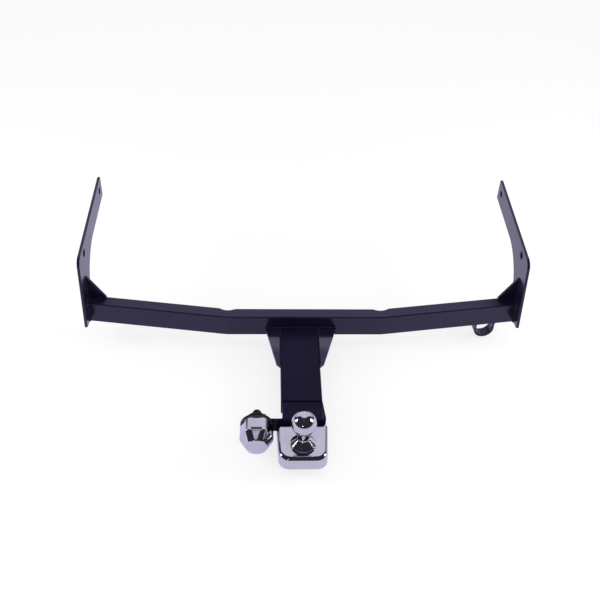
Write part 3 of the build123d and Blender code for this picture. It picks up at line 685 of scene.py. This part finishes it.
def boxWelds():
    # round the sleeve's end, and where the bracket meets the box and its brace
    n = neckWeld
    top, low, half, end = n["boxTop"], n["boxBottom"], n["boxHalf"], n["sleeveEnd"]
    front, reach = n["bracketFront"], n["braceReach"]
    return [([(-half, end, low + 2), (-half, end, top - 1), (-half + 2, end, top), (half - 2, end, top),
              (half, end, top - 1), (half, end, low + 2)], n["sleeveBead"]),
            ([(-half, front, low + 2), (-half, front, top - 2)], n["bracketBead"]),
            ([(reach, front, low + 3), (reach, front, top - 1)], n["braceBead"])]


def braceWelds():
    # along the top of the wedge beside the neck's box
    n = neckWeld
    return [([(n["braceReach"] - 0.8, n["bracketFront"] + 2, n["boxTop"]),
              (n["boxHalf"] + 1, n["sleeveEnd"] - 2, n["boxTop"])], n["wedgeBead"])]


loopWeld = dict(x=441.5, y=381.3, half=24, reach=12, turn=6, bead=2.2)


def loopWelds():
    # the chain loop's two feet against the tube's underside
    w = loopWeld
    turn = Matrix.Rotation(math.radians(w["turn"]), 3, "Z")
    middle = Vector((w["x"], w["y"], tube["bottom"]))
    rows = []
    for side in (-1, 1):
        ends = [middle + turn @ Vector((side * w["half"], reach, 0)) for reach in (-w["reach"], w["reach"])]
        rows.append(([tuple(end) for end in ends], w["bead"]))
    return rows


weldGroup("leftEndWelds", endWelds(-1))
weldGroup("rightEndWelds", endWelds(1))
weldGroup("neckWelds", neckWelds())
weldGroup("boxWelds", boxWelds(), neckPaint)
weldGroup("braceWelds", braceWelds())
weldGroup("loopWelds", loopWelds())
print("weld seams made")


# Soft boot behind the socket, with folds

boot = dict(front=58, rim=24, rimLength=11, inner=21.5, folds=4, foldDeep=2.4, nose=8, cable=4.5, length=34,
            steps=72)


def makeBoot():
    # a collar with a groove, folds that narrow to the nose, then the inside from the nose back
    b = boot
    start, stop = b["rimLength"] + 1, b["length"] - 4
    outside = [(b["inner"], 0), (b["rim"] - 0.6, 0), (b["rim"], 0.6), (b["rim"], 3), (b["rim"] - 0.9, 3.6),
               (b["rim"] - 0.9, 6.4), (b["rim"], 7), (b["rim"], b["rimLength"] - 0.8),
               (b["rim"] - 0.8, b["rimLength"])]
    count = b["folds"] * 8
    for i in range(count + 1):
        share = i / count
        wave = math.cos(share * b["folds"] * 2 * math.pi)
        radius = b["rim"] + (b["nose"] - b["rim"]) * share
        radius -= b["foldDeep"] / 2 * (1 - wave) * (1 - 0.4 * share)
        outside.append((radius - 0.6 * (1 - share), start + (stop - start) * share))
    outside += [(b["nose"] + 0.5, b["length"] - 3.2), (b["nose"] + 0.5, b["length"] - 0.8),
                (b["nose"] - 0.4, b["length"]), (b["cable"] + 0.4, b["length"]),
                (b["cable"], b["length"] - 0.5)]
    inside = [(b["cable"], b["length"] - 5.5), (b["nose"] + 3, b["length"] - 10),
              (b["inner"] - 4, b["rimLength"] + 3), (b["inner"], b["rimLength"] - 1), (b["inner"], 0)]
    piece = turned(outside + inside, b["steps"])
    settled(piece, Matrix.Translation((socket["x"] * mm, b["front"] * mm, socket["z"] * mm))
            @ Matrix.Rotation(math.radians(-90), 4, "X"))
    finished(piece, "cableBoot", "hitch", "soft_rubber", ["cable_boot"], 40)


makeBoot()
print("boot made")


# Floor, light and camera

view = dict(place=(-68.9, -1049.1, 1207.79), down=40.353, right=2.867, roll=2.034, lens=48.844, sensor=36)
studio = dict(floor=(0.35, 0.35, 0.36), floorSize=60, floorGap=0.0005, floorRough=0.9,
              shownLift=0.75, mirrorLift=(0.58, 0.52, 0.77), plain=0.55, lamps=[
    # name, place, aim, width, height, watts
    ("leftBox", (-1.9, 0.31, 0.79), (0, 0, -0.05), 0.5, 0.65, 10),
    ("rightBox", (1.9, 0.31, 0.79), (0, 0, -0.05), 0.6, 0.8, 13),
    ("smallLamp", (-0.45, -1.7, 0.75), (0, 0, 0), 0.12, 0.12, 1.0),
])
# what glossy surfaces show: the pale wall ahead of the hitch, a ceiling panel and the dark room round the
# camera
room = dict(wallMiddle=(0, 0.985, 0.174), wallEdge=(0.62, 0.72), wall=(0.84, 0.79, 1.0),
            panelMiddle=(-0.036, -0.254, 0.9665), panelEdge=(0.9988, 0.9993), panel=(0.76, 0.72, 0.90),
            dark=(0.030, 0.029, 0.045), horizon=(0.0, 0.05), low=(0.78, 0.73, 0.94))


def makeCamera():
    down, right, roll = (math.radians(view[k]) for k in ("down", "right", "roll"))
    forward = Vector((math.sin(right) * math.cos(down), math.cos(right) * math.cos(down), -math.sin(down)))
    across = Vector((math.cos(right), -math.sin(right), 0))
    upward = across.cross(forward)
    across, upward = (across * math.cos(roll) + upward * math.sin(roll),
                      upward * math.cos(roll) - across * math.sin(roll))
    turn = Matrix((across, upward, -forward)).transposed().to_4x4()
    data = bpy.data.cameras.new("photoCamera")
    data.sensor_width = view["sensor"]
    data.lens = view["lens"]
    camera = bpy.data.objects.new("photoCamera", data)
    bpy.context.scene.collection.objects.link(camera)
    camera.matrix_world = Matrix.Translation(Vector(view["place"]) * mm) @ turn
    bpy.context.scene.camera = camera


def makeFloor():
    # a glow for the camera and for mirrors is added to the light and shadow that the floor's surface gets
    low = cadBox[0].z
    deselectAll()
    bpy.ops.mesh.primitive_plane_add(size=studio["floorSize"], location=(0, 0, low - studio["floorGap"]))
    floor = bpy.context.object
    floor.name = "studioFloor"
    shade = Shade("floorWhite")
    toCamera = shade.node("ShaderNodeLightPath", out="Is Camera Ray")
    toMirror = shade.node("ShaderNodeLightPath", out="Is Glossy Ray")
    toMirror = toMirror + shade.node("ShaderNodeLightPath", out="Is Transmission Ray")
    shade.finish(Base_Color=studio["floor"], Roughness=studio["floorRough"], Specular_IOR_Level=0.0,
                 Emission_Color=shade.mix(toMirror, (studio["shownLift"],) * 3, studio["mirrorLift"]),
                 Emission_Strength=toCamera + toMirror)
    floor.data.materials.append(shade.material)


def makeLamps():
    for name, place, aim, width, height, watts in studio["lamps"]:
        data = bpy.data.lights.new(name, "AREA")
        data.shape = "RECTANGLE"
        data.size, data.size_y = width, height
        data.energy = watts
        lamp = bpy.data.objects.new(name, data)
        bpy.context.scene.collection.objects.link(lamp)
        turn = (Vector(aim) - Vector(place)).to_track_quat("-Z", "Y").to_matrix().to_4x4()
        lamp.matrix_world = Matrix.Translation(place) @ turn


def makeWorld():
    world = bpy.data.worlds.new("studioWorld")
    bpy.context.scene.world = world
    shade = Shade(world=world)
    seat = shade.node("ShaderNodeTexCoord", out="Generated")
    toWall, toPanel = (
        shade.node("ShaderNodeVectorMath", {"operation": "DOT_PRODUCT"}, {0: seat, 1: room[key]}, "Value")
        for key in ("wallMiddle", "panelMiddle"))
    height = shade.node("ShaderNodeSeparateXYZ", {}, {0: seat}, "Z")
    colour = shade.mix(shade.between(toWall, *room["wallEdge"]), room["dark"], room["wall"])
    colour = shade.mix(shade.between(toPanel, *room["panelEdge"]), colour, room["panel"])
    colour = shade.mix(shade.between(height, *room["horizon"]), room["low"], colour)
    toMirror = shade.node("ShaderNodeLightPath", out="Is Glossy Ray")
    colour = shade.mix(toMirror, (studio["plain"],) * 3, colour)
    colour = shade.mix(shade.node("ShaderNodeLightPath", out="Is Camera Ray"), colour, (1, 1, 1))
    back = shade.node("ShaderNodeBackground", {}, {"Color": colour})
    shade.node("ShaderNodeOutputWorld", {}, {"Surface": back})


makeCamera()
makeFloor()
makeLamps()
makeWorld()
bpy.context.scene.view_settings.view_transform = "Standard"
print("studio ready")
